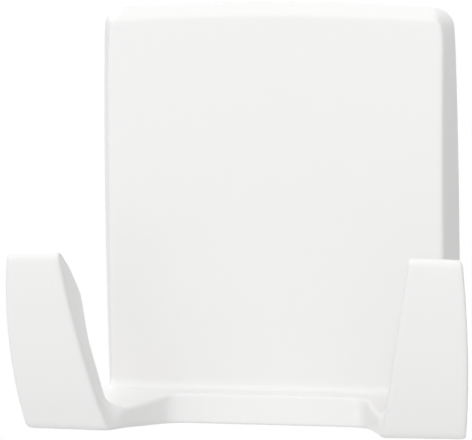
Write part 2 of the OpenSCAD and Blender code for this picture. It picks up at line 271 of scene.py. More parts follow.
def fill(tree: Tree, node: Node, *first: object, **named: object) -> Node:
    """Sets or links a node's sockets.

    Args:
        tree: The tree that the node is in.
        node: The node.
        first: Values or other nodes' sockets for its first sockets, in order.
        named: The same for sockets by their names, in small letters with underscores.

    Returns:
        The node.
    """
    sockets = {s.name.lower().replace(" ", "_"): s for s in reversed(node.inputs)}
    pairs = [*zip(node.inputs, first), *((sockets[name], value) for name, value in named.items())]
    for socket, value in pairs:
        if isinstance(value, Socket):
            tree.links.new(value, socket)
        else:
            socket.default_value = value
    return node


def add(tree: Tree, kind: str, *first: object, **named: object) -> Node:
    """Adds a node of a kind to a tree, fills its sockets and returns it."""
    return fill(tree, tree.nodes.new(kind), *first, **named)


class Pattern(Enum):
    """Kinds of pattern in a surface, each with its node."""

    CLOUDS = "ShaderNodeTexNoise"
    BUBBLES = "ShaderNodeTexVoronoi"


@dataclass(frozen=True)
class Mark:
    """A pattern on a surface: its grain in millimetres, its detail, and its scale along the piece."""

    grain: float
    pattern: Pattern = Pattern.CLOUDS
    detail: float = 3.0
    along: float = 1.0

    def socket(self, tree: Tree) -> Socket:
        """Adds the pattern to a material.

        Args:
            tree: The material's node tree.

        Returns:
            The pattern's socket.
        """
        spot = add(tree, "ShaderNodeTexCoord").outputs["Object"]
        place = add(tree, "ShaderNodeMapping", vector=spot, scale=(1.0, 1.0, self.along)).outputs[0]
        scale = 1 / (self.grain * MM)
        return add(tree, self.pattern.value, vector=place, scale=scale, detail=self.detail).outputs[0]


@dataclass(frozen=True)
class Finish:
    """A material: two tones, a range of roughness and a relief, and the mark that each of them follows."""

    name: str
    tones: tuple[Colour, Colour]
    gloss: Span
    depth: float
    ior: float
    marks: tuple[Mark, Mark, Mark]

    def material(self) -> Material:
        """Makes the material.

        Returns:
            The new material.
        """
        material = bpy.data.materials.new(self.name)
        material.use_nodes = True
        tree = material.node_tree
        tone, gloss, relief = (mark.socket(tree) for mark in self.marks)
        colour = add(tree, "ShaderNodeValToRGB", fac=tone)
        for step, place, paint in zip(colour.color_ramp.elements, PATTERN_RANGE, self.tones):
            step.position = place
            step.color = (*paint, 1.0)
        limits = zip(("from_min", "from_max", "to_min", "to_max"), (*PATTERN_RANGE, *self.gloss))
        rough = add(tree, "ShaderNodeMapRange", value=gloss, **dict(limits))
        bump = add(tree, "ShaderNodeBump", height=relief, distance=self.depth * MM, strength=1.0)
        shader = next(n for n in tree.nodes if n.type == "BSDF_PRINCIPLED")
        links = {"base_color": colour, "roughness": rough, "normal": bump}
        fill(tree, shader, ior=self.ior, **{name: node.outputs[0] for name, node in links.items()})
        return material


def dress(thing: Thing, material: Material, body: str, node: str) -> None:
    """Gives a piece its finish, and its place among the part's bodies and nodes.

    Args:
        thing: The piece.
        material: Its material.
        body: The body that it moves with.
        node: The node that it stands for.
    """
    thing.data.materials.clear()
    thing.data.materials.append(material)
    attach(thing, body)
    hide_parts(node)


@dataclass(frozen=True)
class PlateForm:
    """Outer form of the cover's plate and ledge, in millimetres."""

    width: float = 61.4
    top: float = 35.4
    drop: float = 34.149
    rim_gap: float = 1.2
    depth: float = 4.05
    top_depth: float = 2.5
    belly: float = -1.2
    side_bevel: float = 1.85
    top_bevel: float = 2.05
    side_bow: float = 0.5
    top_arch: float = 1.15
    corner_r: float = 3.3
    front_corner_r: float = 1.0
    rim_land: float = 0.35
    ledge_h: float = 5.0
    ledge_reach: float = 9.4
    ledge_lean: float = 0.75
    hollow_r: float = 1.5
    flare_r: float = 2.4
    ease: float = 0.9
    ease_parts: int = 3
    root_x: float = 13.96
    bays: int = 3
    plate_rows: int = 8
    hollow_rows: int = 7
    flare_steps: tuple[float, ...] = (0, 0, 0, 0, 0, 0.1, 0.6, 1, 1, 1, 1, 1)
    flare_shares: tuple[float, ...] = (1, 1, 1, 1, 1, 1, 0.95, 0.55, 0.25, 0.1, 0.02, 0)
    bevel_shares: tuple[float, ...] = (1.0, 0.95, 0.85, 0.7, 0.5, 0.3, 0.0)

    @property
    def half(self) -> float:
        """Half the width."""
        return self.width / 2

    @property
    def bottom(self) -> float:
        """Height of the bottom face."""
        return -self.drop

    @property
    def ridge(self) -> float:
        """Height of the ledge's top edge."""
        return self.bottom + self.ledge_h

    @property
    def belly_reach(self) -> float:
        """Reach of the front where it is deepest."""
        return self.rim_gap + self.depth

    @property
    def top_reach(self) -> float:
        """Reach of the front edge of the top."""
        return self.rim_gap + self.top_depth

    @property
    def front_top(self) -> float:
        """Height of the front edge of the top."""
        return self.top - self.top_bevel

    @property
    def foot_reach(self) -> float:
        """Reach of the ledge's bottom edge."""
        return self.ledge_reach + self.ledge_lean

    @property
    def front_count(self) -> int:
        """How many points a section has across its front, up to the corner."""
        return 2 * self.bays + 1

    def front_reach(self, z: float) -> float:
        """Returns the reach of the front face at a height."""
        climb = max(0.0, z - self.belly) / (self.front_top - self.belly)
        return mix(self.belly_reach, self.top_reach, climb ** 2)

    @staticmethod
    def rounded_end(half: float, r: float, end: float, z: float) -> float:
        """Returns the half width at a height, where the outline ends in a corner of radius r."""
        past = min(r, max(0.0, z - (end - r)))
        return half - r + math.sqrt(r * r - past * past)

    def back_half(self, z: float) -> float:
        """Returns half the width of the back rim at a height."""
        bow = ((z - self.belly) / (self.top - self.belly)) ** 2
        return self.rounded_end(self.half, self.corner_r, self.top, z) - self.side_bow * bow

    def front_half(self, z: float) -> float:
        """Gives half the width of the front face at a height.

        Args:
            z: The height.

        Returns:
            The half width; above the front edge, that of the bevel.
        """
        width = self.half - self.side_bevel
        if z <= self.front_top:
            return self.rounded_end(width, self.front_corner_r, self.front_top, z)
        climb = (z - self.front_top) / (self.top - self.front_top)
        return mix(width - self.front_corner_r, self.back_half(self.top), climb)

    def arched(self, x: float, reach: float, z: float) -> Vector:
        """Returns a point of the plate, lowered towards the ends of the arched top."""
        climb = max(0.0, z - self.belly) / (self.top - self.belly)
        return Vector((x, reach, z - self.top_arch * climb ** 2 * (x / self.half) ** 2))

    def columns(self, reach: float, z: float) -> Row:
        """Gives the right half of a level section.

        Args:
            reach: The reach of its front.
            z: Its height.

        Returns:
            Its points, from the middle out to the rim.
        """
        corner = Vector((self.front_half(z), reach))
        rim = Vector((self.back_half(z), self.rim_gap))
        side = rim - corner
        ease = min(self.ease, side.length / self.ease_parts) / side.length
        inner = corner.x - self.ease
        across = [self.root_x * t for t in spaced(self.bays)]
        across += [mix(self.root_x, inner, t) for t in spaced(self.bays)[1:]]
        spots = [(x, reach) for x in across] + [corner + side * t for t in held(ease)]
        return [self.arched(x, r, z) for x, r in spots]

    def hollow(self, r: float, t: float) -> Span:
        """Gives a place down the hollow, which runs straight, round its radius and level to the ledge.

        Args:
            r: The radius there.
            t: How far along it is, from 0 to 1.

        Returns:
            How far it stands out of the plate, and its height above the ledge.
        """
        run = self.ledge_reach - self.ease - self.belly_reach
        straight = self.flare_r - r
        turn = math.acos(max(0.0, 1 - run / r))
        level = max(0.0, run - r)
        along = t * (straight + turn * r + level)
        if along < straight:
            return 0.0, self.flare_r - along
        angle = min(turn, (along - straight) / r)
        past = max(0.0, along - straight - turn * r)
        return r * (1 - math.cos(angle)) + past, r * (1 - math.sin(angle))

    def flare(self, t: float) -> Row:
        """Gives a section of the hollow between the plate and the ledge.

        Args:
            t: How far down the hollow it is, from 0 to 1.

        Returns:
            Its points, from the middle out to the rim.
        """
        spots = self.columns(self.belly_reach, self.ridge)
        side = (spots[-1] - spots[self.front_count]).xy.normalized()
        outward = Vector((-side.y, side.x))
        ahead = Vector((0.0, 1.0))
        facing = [ahead] * self.front_count + [(ahead + outward).normalized()]
        facing += [outward] * (len(spots) - len(facing))
        row = []
        for n, (way, share, step) in enumerate(zip(facing, self.flare_shares, self.flare_steps)):
            push, climb = self.hollow(mix(self.hollow_r, self.flare_r, step), t)
            spot = self.columns(self.belly_reach, self.ridge + climb)[n]
            row.append(spot + (way * push * share).to_3d())
        return row

    def upper_sections(self) -> list[Row]:
        """Gives the sections above the hollow.

        Returns:
            The sections, from the crown of the rim down.
        """
        edge = Vector((self.top_reach, self.front_top))
        crown = Vector((self.rim_gap + self.rim_land, self.top))
        bevel = [edge.lerp(crown, t) for t in self.bevel_shares]
        low = self.ridge + self.flare_r
        front = [mix(self.front_top - self.ease, low, t) for t in spaced(self.plate_rows)]
        sections = [self.columns(p.x, p.y) for p in bevel]
        return sections + [self.columns(self.front_reach(z), z) for z in front]

    def ledge_rows(self) -> list[Row]:
        """Gives the rows of the ledge between the arms.

        Returns:
            The rows, from its top edge down its front and back under it.
        """
        ridge = Vector((self.ledge_reach, self.ridge))
        foot = Vector((self.foot_reach, self.bottom))
        back = Vector((self.rim_gap, self.bottom))
        gap = self.ease / (foot - ridge).length
        front = [ridge.lerp(foot, t) for t in held(gap)]
        under = [foot.lerp(back, t) for t in (self.ease / (foot - back).length, 0.5, 1.0)]
        return [[Vector((self.root_x * t, p.x, p.y)) for t in spaced(self.bays)] for p in front + under]


@dataclass(frozen=True)
class ProngForm:
    """Outer form of an arm and its upturned hook, on the right, in millimetres."""

    plate: PlateForm
    arm_gap: float = 33.0
    arm_fillet_r: float = 4.0
    arm_t: float = 3.85
    foot_gap: float = 46.2
    tip_gap: float = 59.0
    foot_span: float = 75.2
    tip_span: float = 77.4
    inner_bow: float = 0.25
    outer_bow: float = 1.0
    foot_reach: float = 24.2
    tip_reach: float = 29.5
    front_bow: float = 1.25
    back_reach: float = 22.7
    back_lean: float = 1.5
    tip_drop: float = 3.95
    tip_slant: float = 0.2
    foot_lift: float = 0.27
    heel_rise: float = 0.22
    nose_h: float = 8.0
    nose_lip: float = 1.15
    lip_h: float = 6.0
    tip_t: float = 1.6
    tip_r: float = 1.5
    # How far the tip's inner, outer, back and front sides draw in, as shares of its rounding.
    tip_draw_shares: tuple[float, float, float, float] = (0.15, 0.35, 0.1, 0.6)
    slant_power: int = 4
    mouth_r: float = 1.8
    ease: float = 1.45
    ease_limit: float = 0.4
    side_draft_share: float = 0.35
    nose_share: float = 0.9
    straight_share: float = 0.5
    foot_turn: float = 22.0
    root_shares: tuple[float, ...] = (0.017, 0.068, 0.153, 0.258, 0.45, 0.65, 0.83)
    fan_angles: tuple[float, ...] = (0, 11, 21, 28, 32, 35, 38, 42, 49, 58, 68, 79, 90)
    rounding_angles: tuple[float, ...] = (30, 60, 90)
    shank_rows: int = 5
    nose_rows: int = 6
    top_columns: int = 8
    side_columns: int = 3

    @property
    def tip(self) -> float:
        """Height of the tips."""
        return -self.tip_drop

    @property
    def arm_top(self) -> float:
        """Height of the arms' top below the mouths."""
        return self.plate.bottom + self.arm_t

    @property
    def mouth(self) -> Vector:
        """Centre of the mouth's radius, as reach and height."""
        return Vector((self.back_reach - self.back_lean - self.mouth_r, self.arm_top + self.mouth_r))

    def climb(self, z: float) -> float:
        """Returns the share of the hook's height below z."""
        return (z - self.plate.bottom) / (self.tip - self.plate.bottom)

    def front(self, z: float) -> float:
        """Returns the reach of the hook's front face at a height."""
        t = self.climb(z)
        return mix(self.foot_reach, self.tip_reach, t) + self.front_bow * bulge(t)

    def back(self, z: float) -> float:
        """Gives the reach of the hook's back face, which leans in to the mouth and has a lip below its nose.

        Args:
            z: The height.

        Returns:
            The reach there.
        """
        low = self.back_reach - self.nose_lip
        nose = self.tip - self.nose_h
        if z <= nose:
            end = nose - self.lip_h
            lean = self.back_lean * glide((end - z) / (end - self.mouth.y))
            return mix(low, self.back_reach, glide((nose - z) / self.lip_h)) - lean
        t = (z - nose) / self.nose_h
        curve = 1 - math.sqrt(1 - (self.nose_share * t) ** 2)
        full = 1 - math.sqrt(1 - self.nose_share ** 2)
        return mix(low, self.front(self.tip) - self.tip_t, mix(curve / full, t, self.straight_share))

    def arm_inner(self, reach: float) -> float:
        """Gives half the gap between the arms, which leave the ledge on an arc and run straight on.

        Args:
            reach: The reach.

        Returns:
            Half the gap there, at the bottom.
        """
        run = self.foot_reach - self.plate.ledge_reach
        turn = math.atan2(2 * run, self.foot_gap - self.arm_gap)
        past = min(reach, self.foot_reach) - self.plate.ledge_reach
        if past >= self.arm_fillet_r * (1 - math.cos(turn)):
            return mix(self.arm_gap, self.foot_gap, past / run) / 2
        start = self.arm_gap / 2 - self.arm_fillet_r * math.tan(turn / 2)
        return start + self.arm_fillet_r * math.sin(math.acos(1 - max(0.0, past) / self.arm_fillet_r))

    def arm_height(self, reach: float) -> float:
        """Returns the height of the arm's top, which runs on from the ledge and falls to the mouth."""
        past = (reach - self.plate.ledge_reach) / (self.mouth.x - self.plate.ledge_reach)
        return mix(self.plate.ridge, self.arm_top, max(0.0, min(1.0, past)))

    def inner(self, reach: float, z: float) -> float:
        """Returns the place across of the inner side at a reach and height."""
        t = self.climb(z)
        return self.arm_inner(reach) + (self.tip_gap - self.foot_gap) * t / 2 + self.inner_bow * bulge(t)

    def outer(self, reach: float, z: float) -> float:
        """Gives the place across of the outer side.

        Args:
            reach: The reach.
            z: The height.

        Returns:
            The distance from the middle.
        """
        t = self.climb(z)
        root = (min(reach, self.foot_reach) - self.plate.rim_gap) / (self.foot_reach - self.plate.rim_gap)
        foot = mix(self.plate.half - self.plate.side_bow, self.foot_span / 2, root)
        return foot + (self.tip_span - self.foot_span) * t / 2 + self.outer_bow * bulge(t)

    def corners(self, inside: Vector, outside: Vector, facing: float = 1.0, round_off: float = 0.0) -> Row:
        """Gives the four corners of a section across the limb.

        Args:
            inside: Reach and height on the side of the mouth.
            outside: Reach and height on the far side.
            facing: How far the far side faces the room, from 0 at the bottom to 1.
            round_off: How far the rounding of the tip has come.

        Returns:
            The inside's inner and outer corner, then the outside's outer and inner corner.
        """
        inner, outer, back, front = (round_off * share for share in self.tip_draw_shares)
        x0 = self.inner(outside.x, outside.y) + inner
        x1 = self.outer(outside.x, outside.y) - outer
        lean = self.side_draft_share * (outside - inside).length
        slant = self.tip_slant * self.climb(outside.y) ** self.slant_power
        near, far = inside.x + back, outside.x - front
        x_near = x0 + (self.arm_inner(inside.x) - self.arm_inner(outside.x)) * (1 - facing)
        return [
            Vector((x_near, near, inside.y)),
            Vector((x1 - lean, near, inside.y - slant)),
            Vector((x1, far, outside.y - slant + self.heel_rise * (1 - facing))),
            Vector((x0, far, outside.y)),
        ]

    def root_corners(self, t: float) -> Row:
        """Gives the corners of a slanting section between the plate and the mouth.

        Args:
            t: How far out it is, from 0 to 1.

        Returns:
            The top's inner and outer corner, then the bottom's outer and inner corner.
        """
        plate = self.plate
        early = (1 - t) ** 2
        near = mix(plate.ledge_reach, self.mouth.x, t)
        far = mix(plate.rim_gap, self.mouth.x, t)
        x0 = self.arm_inner(near)
        x1 = self.outer(far, plate.bottom)
        lean = self.side_draft_share * self.arm_t
        rim = plate.back_half(plate.ridge) - plate.half + plate.side_bow
        return [
            Vector((x0, near, self.arm_height(near))),
            Vector((x1 - lean + (rim + lean) * early, far, self.arm_height(far))),
            Vector((x1 + rim * early, far, plate.bottom + (self.foot_lift + self.heel_rise) * t * t)),
            Vector((x0, near + plate.ledge_lean * early, plate.bottom + self.foot_lift * t * t)),
        ]

    def ring(self, corners: Sequence[Vector]) -> Row:
        """Gives the points of a section.

        Args:
            corners: Its four corners.

        Returns:
            The corners and points along each side, close to the corners and even between.
        """
        counts = (self.top_columns, self.side_columns) * 2
        spots = []
        for a, b, count in zip(corners, [*corners[1:], corners[0]], counts):
            gap = min(self.ease / (b - a).length, self.ease_limit)
            spots.append(a)
            spots.extend(a.lerp(b, mix(gap, 1 - gap, t)) for t in spaced(count - 1))
        return spots

    def foot(self, angle: float) -> tuple[Vector, Vector]:
        """Gives a section of the foot, which fans out from the mouth's centre.

        Args:
            angle: Its turn from straight down, in degrees.

        Returns:
            Reach and height of its inside and of its outside.
        """
        turn = math.radians(angle)
        ahead = Vector((math.sin(turn), -math.cos(turn)))
        depth = self.mouth.y - self.plate.bottom - self.foot_lift
        reach = self.front(self.mouth.y)
        slope = (reach - self.foot_reach) / depth
        down = math.cos(turn) / depth
        front = (math.sin(turn) + slope * math.cos(turn)) / (reach - self.mouth.x)
        far = (down ** self.foot_turn + front ** self.foot_turn) ** (-1 / self.foot_turn)
        return self.mouth + ahead * self.mouth_r, self.mouth + ahead * far

    def level(self, z: float) -> tuple[Vector, Vector]:
        """Returns reach and height of the inside and outside of the level section at a height."""
        return Vector((self.back(z), z)), Vector((self.front(z), z))

    def rings(self) -> list[Row]:
        """Gives all sections past the root.

        Returns:
            The sections, from the plate to the tip.
        """
        nose = self.tip - self.nose_h
        full = self.tip - self.tip_r
        heights = [mix(self.mouth.y, nose, t) for t in spaced(self.shank_rows)[1:]]
        heights += [mix(nose, full, t) for t in spaced(self.nose_rows)[1:]]
        sections = [self.root_corners(t) for t in self.root_shares]
        sections += [self.corners(*self.foot(a), math.sin(math.radians(a)) ** 2) for a in self.fan_angles]
        sections += [self.corners(*self.level(z)) for z in heights]
        for turn in (math.radians(a) for a in self.rounding_angles):
            z = self.tip - self.tip_r * (1 - math.sin(turn))
            sections.append(self.corners(*self.level(z), 1.0, self.tip_r * (1 - math.cos(turn))))
        return [self.ring(section) for section in sections]


@dataclass(frozen=True)
class HookCover:
    """The moulded cover: its plate, ledge and two prongs, and the slot at its back."""

    plate: PlateForm = PlateForm()
    front_wall: float = 1.7
    slot_half_w: float = 27.9
    slot_reach: float = 3.05
    slot_r: float = 0.6
    stop_z: float = 20.0
    stop_h: float = 1.6
    stop_w: float = 38.0
    rail_h: float = 36.0
    leg_x: Span = (24.15, 25.65)
    lip_x: float = 22.15
    lip_reach: float = 1.85
    lead_in: float = 3.0
    lead_reach: float = 1.49
    core_span: float = 48.0
    core_n: int = 7
    core_rib_t: float = 1.2
    core_r: float = 0.6
    gusset_ribs: int = 3
    heel_gap: float = 0.2
    edge: float = 0.12
    overrun: float = 0.5
    seam: float = 0.001
    skin_levels: int = 2
    # Satin moulded plastic: fine shifts of tone and gloss, and a faint grain.
    finish: Finish = Finish(
        "cover_plastic", tones=((0.852, 0.847, 0.843), (0.86, 0.855, 0.851)), gloss=(0.287, 0.297),
        depth=0.001, ior=1.5, marks=(Mark(0.35), Mark(0.35), Mark(0.9)))

    def right_half(self) -> Cage:
        """Gives the control mesh of the right half, open at the middle.

        Returns:
            The mesh.
        """
        plate, prong, cage = self.plate, ProngForm(self.plate), Cage()
        arm, corner = plate.bays, plate.front_count
        rows = [cage.row(spots) for spots in plate.upper_sections()]
        rows += [cage.row(plate.flare(t)) for t in spaced(plate.hollow_rows)[1:]]
        cage.strips(rows)
        crown, brow = rows[0], rows[-1]
        ledge = [cage.row(spots) for spots in plate.ledge_rows()]
        cage.strips([brow[:arm + 1], *ledge])
        ridge, front_near, front_mid, front_low, foot, under_near, under_mid, back = (
            row[arm] for row in ledge)

        heights = [mix(cage.points[brow[-1]].z, plate.bottom, t) for t in held(self.heel_gap)[1:]]
        *side, heel = cage.row((plate.back_half(z), plate.rim_gap, z) for z in heights)
        start, end = cage.points[under_near], cage.points[heel]
        sole = cage.row(start.lerp(end, t) for t in spaced(prong.top_columns)[1:-1])
        root = [ridge, *brow[arm:], *side, heel, *reversed(sole),
                under_near, foot, front_low, front_mid, front_near]
        self.limb(cage, prong, root)

        cage.face(under_near, under_mid, back, heel, *reversed(sole))
        top = cage.row((p.x, plate.rim_gap, p.z) for p in [cage.points[i] for i in crown[:corner]])
        cage.strips([crown[:corner], top])
        cage.face(*crown[corner - 1:], top[-1])
        rim = [*top, *(row[-1] for row in rows), *side, heel, *reversed(ledge[-1])]
        cage.face(*rim)
        cage.crease(rim)
        cage.sharp_points.add(heel)
        return cage

    def limb(self, cage: Cage, prong: ProngForm, root: Sequence[int]) -> None:
        """Adds an arm and its hook to the control mesh.

        Args:
            cage: The mesh.
            prong: The form of the arm and hook.
            root: The ring of points where the arm leaves the plate and ledge.
        """
        straight = prong.ring(prong.root_corners(0.0))
        bent = [cage.points[i] - s for i, s in zip(root, straight)]
        rings = [list(root)]
        for n, spots in enumerate(prong.rings()):
            early = (1 - prong.root_shares[n]) ** 2 if n < len(prong.root_shares) else 0.0
            rings.append(cage.row(s + b * early for s, b in zip(spots, bent)))
        cage.strips(rings, closed=True)
        end, width, sides = rings[-1], prong.top_columns + 2, prong.side_columns
        inside, outer = end[:width], end[width:width + sides]
        outside, inner = end[width + sides:2 * width + sides][::-1], end[2 * width + sides:]
        columns = [[inside[0], *reversed(inner), outside[0]]]
        for a, b in zip(inside[1:-1], outside[1:-1]):
            p, q = cage.points[a], cage.points[b]
            columns.append([a, *cage.row(p.lerp(q, t) for t in spaced(sides + 1)[1:-1]), b])
        columns.append([inside[-1], *outer, outside[-1]])
        cage.strips(columns)

    def slot(self) -> Thing:
        """Gives the space behind the plate where the wall plate slides in, open at the back and bottom.

        Returns:
            The tool that cuts it.
        """
        plate, past = self.plate, 2 * self.slot_r
        top = plate.top - plate.top_bevel - self.front_wall
        back, low = plate.rim_gap - past, plate.bottom - past
        outline = [(back, low), (self.slot_reach, low),
                   (self.slot_reach, self.stop_z + self.stop_h + self.overrun),
                   (plate.front_reach(top) - self.front_wall, top), (back, top)]
        cage = Cage()
        cage.prism(outline, -self.slot_half_w, self.slot_half_w)
        return soften(cage.piece("slot"), self.slot_r, steps=3)

    def core_pockets(self) -> Thing:
        """Gives the row of pockets that keep the ledge's walls even.

        Returns:
            The tool that cuts them.
        """
        plate, r = self.plate, self.core_r
        low = plate.bottom + self.front_wall + r
        high = plate.ridge + plate.hollow_r - self.front_wall - r
        near, far = self.slot_reach - self.overrun, plate.ledge_reach - self.front_wall - r
        slant = math.degrees(math.atan2(far - near, high - low))
        outline = [*arc(near, low, r, 180, 270, steps=4), *arc(far, low, r, 270, 360 + 90 - slant, steps=8),
                   *arc(near, high, r, 90 - slant, 180, steps=6)]
        cage = Cage()
        pitch = self.core_span / self.core_n
        for i in range(self.core_n):
            x = pitch * (i + 0.5) - self.core_span / 2
            half = (pitch - self.core_rib_t) / 2
            cage.prism(outline, x - half, x + half)
        return cage.piece("core_pockets")

    def rails(self) -> Thing:
        """Gives the two guide rails, each a leg beside the wall plate's flange and a lip behind it.

        Returns:
            The rails.
        """
        back, front = self.plate.rim_gap, self.slot_reach + self.overrun
        (near, far), half = self.leg_x, self.rail_h / 2
        leg = [(self.lip_x, back), (far, back), (far, front), (near, front)]
        lips = [(-half, self.lead_reach), (self.lead_in - half, self.lip_reach), (half, self.lip_reach)]
        cage = Cage()
        for side in Side:
            cage.loft(
                [(side.value * x, reach, z) for x, reach in [*leg, (near, lip), (self.lip_x, lip)]]
                for z, lip in lips)
        return soften(cage.piece("rails"), self.edge)

    def stop_rib(self) -> list[Thing]:
        """Gives the rib that sits on the wall plate's top edge, and the gussets above its ends.

        Returns:
            The rib and the gussets.
        """
        back, floor, front = self.plate.rim_gap, self.slot_reach, self.slot_reach + self.overrun
        low, top = self.stop_z, self.stop_z + self.stop_h
        high = self.stop_z + self.gusset_ribs * self.stop_h
        rib = Cage()
        rib.prism([(back, low), (front, low), (front, top), (back, top)], -self.stop_w / 2, self.stop_w / 2)
        gussets = Cage()
        for side in Side:
            ends = [side.value * (self.stop_w / 2 - inset) for inset in (self.edge / 2, self.stop_h)]
            outline = [(back + self.edge, low + self.edge), (front, low + self.edge),
                       (front, high), (floor, high), (back + self.edge, top)]
            gussets.prism(outline, *ends)
        return [soften(piece, self.edge) for piece in (rib.piece("stop_rib"), gussets.piece("gussets"))]

    def build(self) -> Thing:
        """Makes the cover and dresses it.

        Returns:
            The cover's object.
        """
        cover = self.right_half().piece("hook_cover_moulding")
        mirror = cover.modifiers.new("both_halves", "MIRROR")
        mirror.merge_threshold = self.seam * MM
        skin = cover.modifiers.new("skin", "SUBSURF")
        skin.levels = skin.render_levels = self.skin_levels
        settle(cover)
        added = [self.rails(), *self.stop_rib()]
        cut = [self.slot(), self.core_pockets()]
        combine(cover, [(tool, Join.REMOVE) for tool in cut] + [(tool, Join.ADD) for tool in added])
        smooth(cover)
        dress(cover, self.finish.material(), "hook_cover", "hook_cover")
        return cover


@dataclass(frozen=True)
class WallPlate:
    """The flat plate on the wall that the cover slides down over."""

    back_reach: float = 1.0
    flange_reach: float = 2.0
    front_reach: float = 2.8
    back_half: float = 22.0
    front_half: float = 24.0
    half_h: float = 20.0
    corner_r: float = 2.0
    lead: Span = (2.0, 3.0)
    notch_x: float = 11.0
    notch_w: float = 11.0
    notch_r: float = 4.0
    edge: float = 0.2
    # Matte moulded plastic, with the grain of a rougher mould.
    finish: Finish = Finish(
        "plate_plastic", tones=((0.76, 0.76, 0.743), (0.8, 0.8, 0.783)), gloss=(0.5, 0.64),
        depth=0.012, ior=1.5, marks=(Mark(0.35), Mark(0.35), Mark(0.16)))

    def outline(self, half: float, corner_r: float, lead: Span) -> Row:
        """Gives the plate's outline across and up.

        Args:
            half: Half its width.
            corner_r: The radius of its lower corners.
            lead: Width and height of the slant at its upper corners.

        Returns:
            The outline, round from the lower left notch.
        """
        low, top, r = -self.half_h, self.half_h, self.notch_r
        reach = self.notch_w / 2 - r
        right = [*arc(self.notch_x - reach, low, r, 180, 90), *arc(self.notch_x + reach, low, r, 90, 0)]
        right += [*arc(half - corner_r, low + corner_r, corner_r, -90, 0),
                  Vector((half, top - lead[1])), Vector((half - lead[0], top))]
        return [Vector((-p.x, p.y)) for p in reversed(right)] + right

    def build(self) -> Thing:
        """Makes the wall plate and dresses it.

        Returns:
            The wall plate's object.
        """
        small = 2 * self.edge
        back = self.outline(self.back_half, small, (small, small))
        front = self.outline(self.front_half, self.corner_r, self.lead)
        cage = Cage()
        cage.loft([(p.x, reach, p.y) for p in outline] for outline, reach in (
            (back, self.back_reach), (back, self.flange_reach),
            (front, self.flange_reach), (front, self.front_reach)))
        plate = soften(cage.piece("wall_plate_moulding"), self.edge)
        smooth(plate)
        dress(plate, self.finish.material(), "wall_plate", "wall_plate")
        return plate


